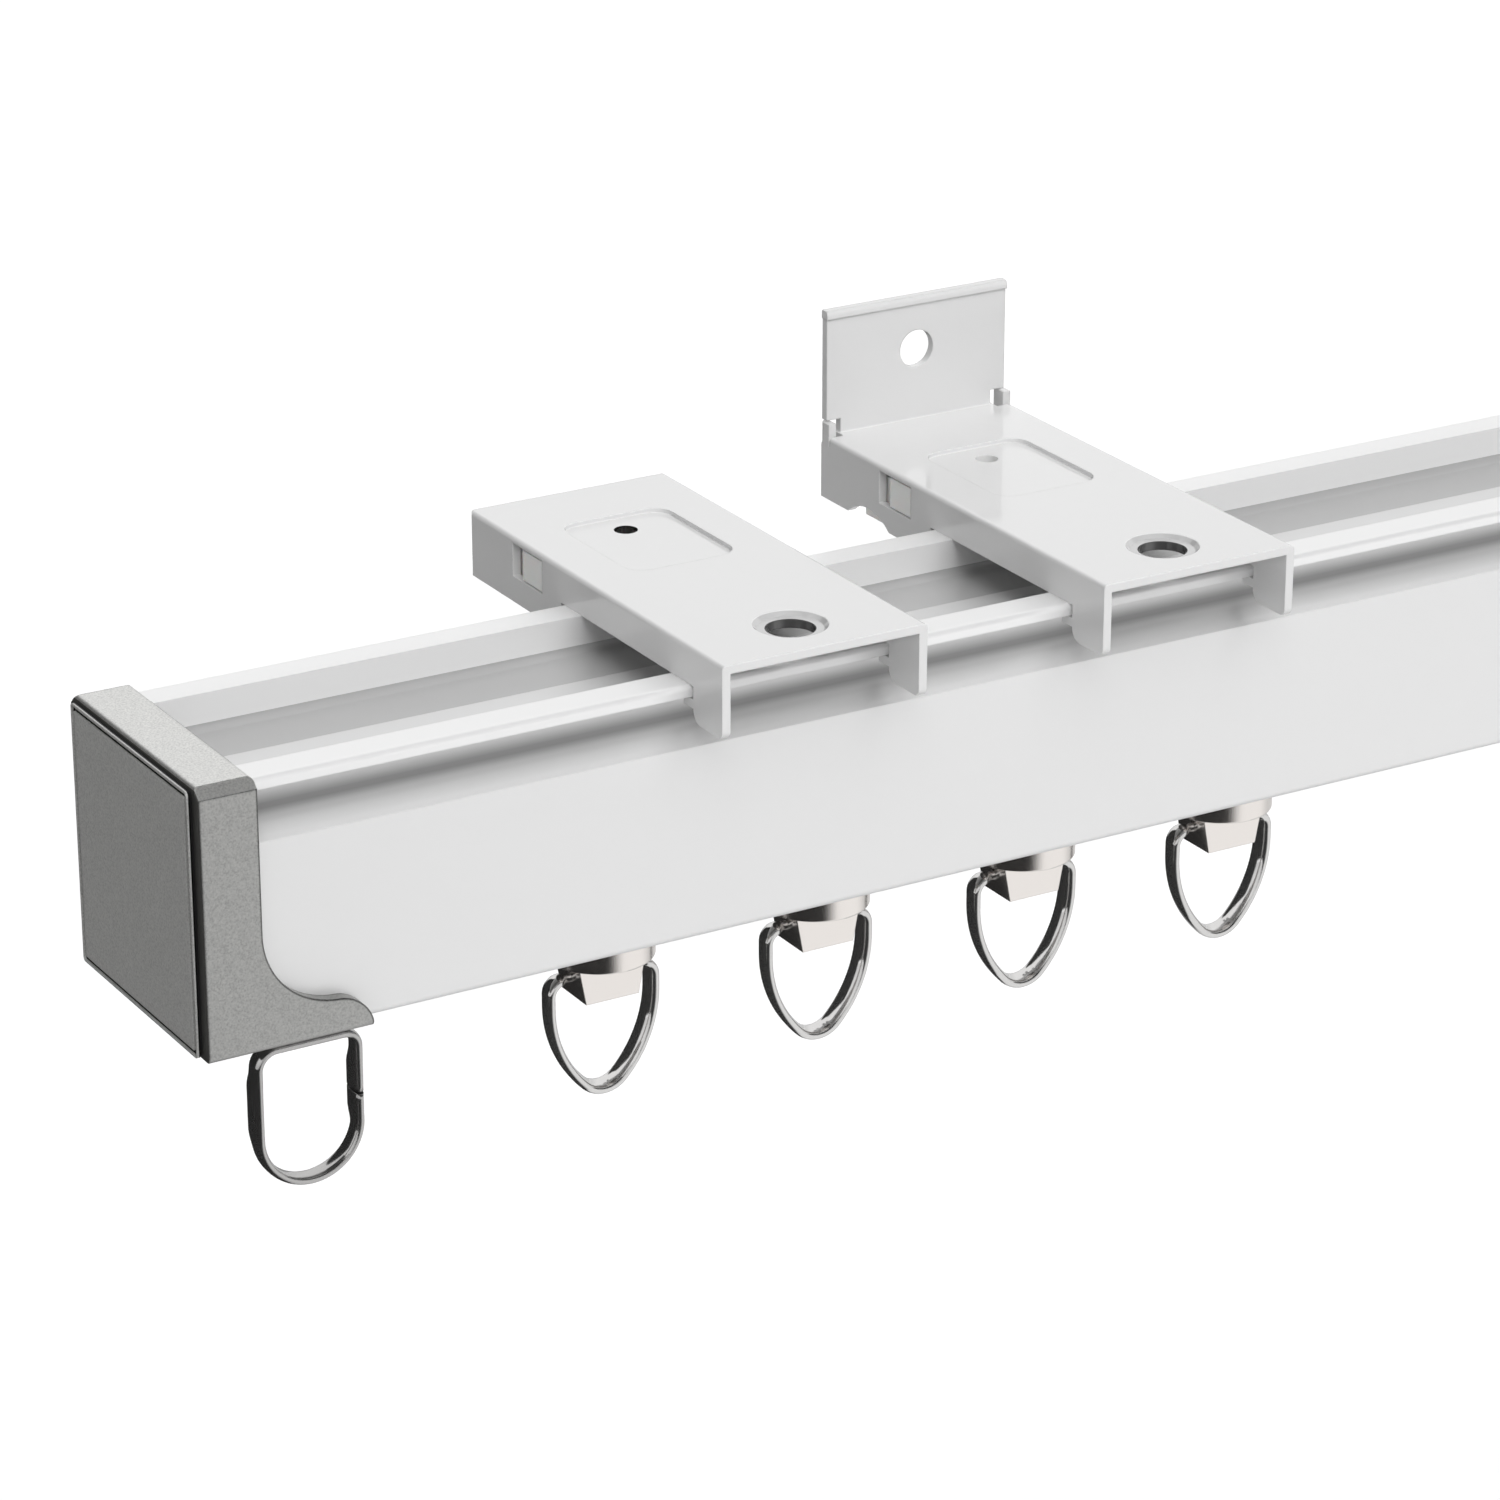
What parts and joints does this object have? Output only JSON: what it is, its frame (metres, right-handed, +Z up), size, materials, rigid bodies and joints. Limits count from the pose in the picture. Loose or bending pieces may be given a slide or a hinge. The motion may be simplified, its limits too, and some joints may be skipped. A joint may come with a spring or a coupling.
{
  "type": "curtain track",
  "caption": "Square ceiling or wall mounted curtain track with clamp brackets, end caps, end rings and roller gliders whose heads swivel and carry hanging rings.",
  "frame": {"origin": "centre of the ceiling bracket's screw hole, on the seat of the screw head, 0.5 mm below the face that lies on the ceiling", "axes": "+X along the track from the end cap nearest the brackets to the far one, +Y back towards the wall, +Z up to the ceiling"},
  "size_m": [0.5, 0.0589, 0.0728],
  "materials": {
    "satin_aluminium": "satin anodised",
    "grey_end_cap_plastic": "fine matte",
    "dark_grey_cover_plastic": "fine matte",
    "black_seal_rubber": "matte",
    "white_coated_steel": "satin powder coat",
    "white_acetal": "satin",
    "white_nylon": "satin",
    "steel_axle": "drawn",
    "nickel_plated_zinc": "polished",
    "nickel_plated_ring": "polished"
  },
  "bodies": {
    "track": {"track_extrusion": "satin_aluminium", "left_end_cap": "grey_end_cap_plastic", "left_end_seal": "black_seal_rubber", "left_end_cover": "dark_grey_cover_plastic", "right_end_cap": "grey_end_cap_plastic", "right_end_seal": "black_seal_rubber", "right_end_cover": "dark_grey_cover_plastic", "ceiling_bracket": "white_coated_steel", "wall_bracket": "white_coated_steel"},
    "left_end_link": {"left_end_ring": "nickel_plated_ring", "left_end_yoke": "nickel_plated_ring"},
    "right_end_link": {"right_end_ring": "nickel_plated_ring", "right_end_yoke": "nickel_plated_ring"},
    "ceiling_bolt": {"ceiling_lock_bolt": "white_acetal"},
    "wall_bolt": {"wall_lock_bolt": "white_acetal"},
    "glider_1": {"glider_1_carriage": "white_nylon", "glider_1_axle": "steel_axle"},
    "glider_1_front_roller": {"glider_1_front_wheel": "white_acetal"},
    "glider_1_rear_roller": {"glider_1_rear_wheel": "white_acetal"},
    "glider_1_head": {"glider_1_swivel_head": "nickel_plated_zinc"},
    "glider_1_hook_ring": {"glider_1_ring": "nickel_plated_ring"},
    "glider_2": {"glider_2_carriage": "white_nylon", "glider_2_axle": "steel_axle"},
    "glider_2_front_roller": {"glider_2_front_wheel": "white_acetal"},
    "glider_2_rear_roller": {"glider_2_rear_wheel": "white_acetal"},
    "glider_2_head": {"glider_2_swivel_head": "nickel_plated_zinc"},
    "glider_2_hook_ring": {"glider_2_ring": "nickel_plated_ring"},
    "glider_3": {"glider_3_carriage": "white_nylon", "glider_3_axle": "steel_axle"},
    "glider_3_front_roller": {"glider_3_front_wheel": "white_acetal"},
    "glider_3_rear_roller": {"glider_3_rear_wheel": "white_acetal"},
    "glider_3_head": {"glider_3_swivel_head": "nickel_plated_zinc"},
    "glider_3_hook_ring": {"glider_3_ring": "nickel_plated_ring"},
    "glider_4": {"glider_4_carriage": "white_nylon", "glider_4_axle": "steel_axle"},
    "glider_4_front_roller": {"glider_4_front_wheel": "white_acetal"},
    "glider_4_rear_roller": {"glider_4_rear_wheel": "white_acetal"},
    "glider_4_head": {"glider_4_swivel_head": "nickel_plated_zinc"},
    "glider_4_hook_ring": {"glider_4_ring": "nickel_plated_ring"}
  },
  "joints": [
    {"name": "left_end_ring_swing", "type": "hinge", "parent": "track", "child": "left_end_link", "pos_m": [-0.0525, 0.0132, -0.03895], "axis": [1, 0, 0], "range_deg": [-60, 60]},
    {"name": "right_end_ring_swing", "type": "hinge", "parent": "track", "child": "right_end_link", "pos_m": [0.4119, 0.0132, -0.03895], "axis": [1, 0, 0], "range_deg": [-60, 60]},
    {"name": "ceiling_bolt_slide", "type": "slide", "parent": "track", "child": "ceiling_bolt", "axis": [0, 1, 0], "range_m": [0, 0.002], "stiffness_N_per_m": 400, "springref_m": -0.002},
    {"name": "wall_bolt_slide", "type": "slide", "parent": "track", "child": "wall_bolt", "axis": [0, 1, 0], "range_m": [0, 0.002], "stiffness_N_per_m": 400, "springref_m": -0.002},
    {"name": "glider_1_travel", "type": "slide", "parent": "track", "child": "glider_1", "axis": [1, 0, 0], "range_m": [-0.014, 0.006]},
    {"name": "glider_1_front_wheel_spin", "type": "hinge", "parent": "glider_1", "child": "glider_1_front_roller", "pos_m": [-0.0161, 0.0071, -0.0264], "axis": [0, 1, 0], "continuous": true},
    {"name": "glider_1_rear_wheel_spin", "type": "hinge", "parent": "glider_1", "child": "glider_1_rear_roller", "pos_m": [-0.0161, 0.0193, -0.0264], "axis": [0, 1, 0], "continuous": true},
    {"name": "glider_1_swivel", "type": "hinge", "parent": "glider_1", "child": "glider_1_head", "pos_m": [-0.0161, 0.0132, -0.0337], "axis": [0, 0, 1], "continuous": true},
    {"name": "glider_1_ring_swing", "type": "hinge", "parent": "glider_1_head", "child": "glider_1_hook_ring", "pos_m": [-0.0161, 0.0132, -0.0409], "axis": [1, 0, 0], "range_deg": [-75, 75]},
    {"name": "glider_2_travel", "type": "slide", "parent": "track", "child": "glider_2", "axis": [1, 0, 0], "range_m": [-0.006, 0.006]},
    {"name": "glider_2_front_wheel_spin", "type": "hinge", "parent": "glider_2", "child": "glider_2_front_roller", "pos_m": [0.0112, 0.0071, -0.0264], "axis": [0, 1, 0], "continuous": true},
    {"name": "glider_2_rear_wheel_spin", "type": "hinge", "parent": "glider_2", "child": "glider_2_rear_roller", "pos_m": [0.0112, 0.0193, -0.0264], "axis": [0, 1, 0], "continuous": true},
    {"name": "glider_2_swivel", "type": "hinge", "parent": "glider_2", "child": "glider_2_head", "pos_m": [0.0112, 0.0132, -0.0337], "axis": [0, 0, 1], "continuous": true},
    {"name": "glider_2_ring_swing", "type": "hinge", "parent": "glider_2_head", "child": "glider_2_hook_ring", "pos_m": [0.0112, 0.0132, -0.0409], "axis": [1, 0, 0], "range_deg": [-75, 75]},
    {"name": "glider_3_travel", "type": "slide", "parent": "track", "child": "glider_3", "axis": [1, 0, 0], "range_m": [-0.006, 0.006]},
    {"name": "glider_3_front_wheel_spin", "type": "hinge", "parent": "glider_3", "child": "glider_3_front_roller", "pos_m": [0.0385, 0.0071, -0.0264], "axis": [0, 1, 0], "continuous": true},
    {"name": "glider_3_rear_wheel_spin", "type": "hinge", "parent": "glider_3", "child": "glider_3_rear_roller", "pos_m": [0.0385, 0.0193, -0.0264], "axis": [0, 1, 0], "continuous": true},
    {"name": "glider_3_swivel", "type": "hinge", "parent": "glider_3", "child": "glider_3_head", "pos_m": [0.0385, 0.0132, -0.0337], "axis": [0, 0, 1], "continuous": true},
    {"name": "glider_3_ring_swing", "type": "hinge", "parent": "glider_3_head", "child": "glider_3_hook_ring", "pos_m": [0.0385, 0.0132, -0.0409], "axis": [1, 0, 0], "range_deg": [-75, 75]},
    {"name": "glider_4_travel", "type": "slide", "parent": "track", "child": "glider_4", "axis": [1, 0, 0], "range_m": [-0.006, 0.33]},
    {"name": "glider_4_front_wheel_spin", "type": "hinge", "parent": "glider_4", "child": "glider_4_front_roller", "pos_m": [0.0658, 0.0071, -0.0264], "axis": [0, 1, 0], "continuous": true},
    {"name": "glider_4_rear_wheel_spin", "type": "hinge", "parent": "glider_4", "child": "glider_4_rear_roller", "pos_m": [0.0658, 0.0193, -0.0264], "axis": [0, 1, 0], "continuous": true},
    {"name": "glider_4_swivel", "type": "hinge", "parent": "glider_4", "child": "glider_4_head", "pos_m": [0.0658, 0.0132, -0.0337], "axis": [0, 0, 1], "continuous": true},
    {"name": "glider_4_ring_swing", "type": "hinge", "parent": "glider_4_head", "child": "glider_4_hook_ring", "pos_m": [0.0658, 0.0132, -0.0409], "axis": [1, 0, 0], "range_deg": [-75, 75]}
  ],
  "couplings": [
    {"joint": "glider_1_front_wheel_spin", "follows": "glider_1_travel", "rad_per_m": 222.22},
    {"joint": "glider_1_rear_wheel_spin", "follows": "glider_1_travel", "rad_per_m": 222.22},
    {"joint": "glider_2_front_wheel_spin", "follows": "glider_2_travel", "rad_per_m": 222.22},
    {"joint": "glider_2_rear_wheel_spin", "follows": "glider_2_travel", "rad_per_m": 222.22},
    {"joint": "glider_3_front_wheel_spin", "follows": "glider_3_travel", "rad_per_m": 222.22},
    {"joint": "glider_3_rear_wheel_spin", "follows": "glider_3_travel", "rad_per_m": 222.22},
    {"joint": "glider_4_front_wheel_spin", "follows": "glider_4_travel", "rad_per_m": 222.22},
    {"joint": "glider_4_rear_wheel_spin", "follows": "glider_4_travel", "rad_per_m": 222.22}
  ]
}
